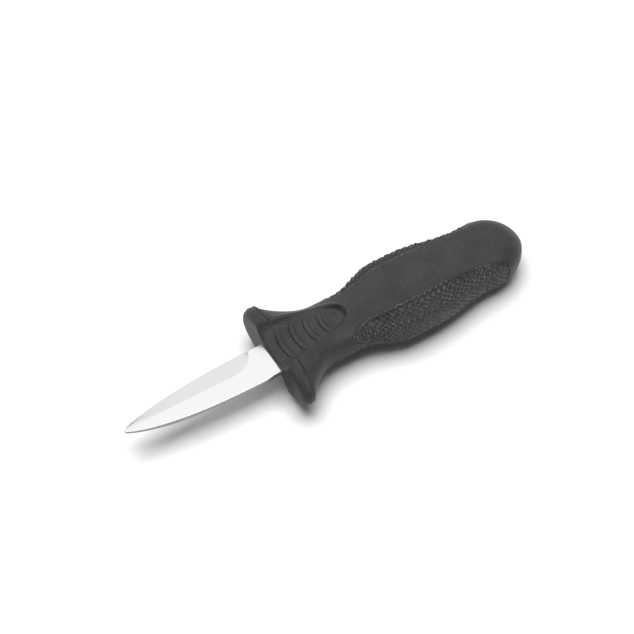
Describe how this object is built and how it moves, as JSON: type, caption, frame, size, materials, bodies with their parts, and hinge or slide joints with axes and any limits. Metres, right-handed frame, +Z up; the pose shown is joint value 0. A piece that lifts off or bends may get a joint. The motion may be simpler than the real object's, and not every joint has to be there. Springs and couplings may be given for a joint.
{
  "type": "oyster knife",
  "caption": "Oyster knife with a short stiff ground blade, a flared guard with ribbed thumb scoops and a swelling moulded handle with textured grip panels.",
  "frame": {"origin": "centre of the guard's flat front face, on the blade's middle plane", "axes": "+X along the handle to the butt, so the blade points along -X; +Y towards the cutting edge; +Z up through the blade's thickness"},
  "size_m": [0.1655, 0.0456, 0.0226],
  "materials": {
    "blade_steel": "satin-ground stainless steel with a fine lengthwise grain",
    "core_plastic": "plain moulded polypropylene",
    "handle_plastic": "fine matte moulded polypropylene, charcoal black",
    "grip_plastic": "moulded woven texture, charcoal black"
  },
  "bodies": {
    "root": {"blade": "blade_steel", "tang_core": "core_plastic", "handle_body": "handle_plastic", "grip_panel_left": "grip_plastic", "grip_panel_right": "grip_plastic"}
  },
  "joints": []
}
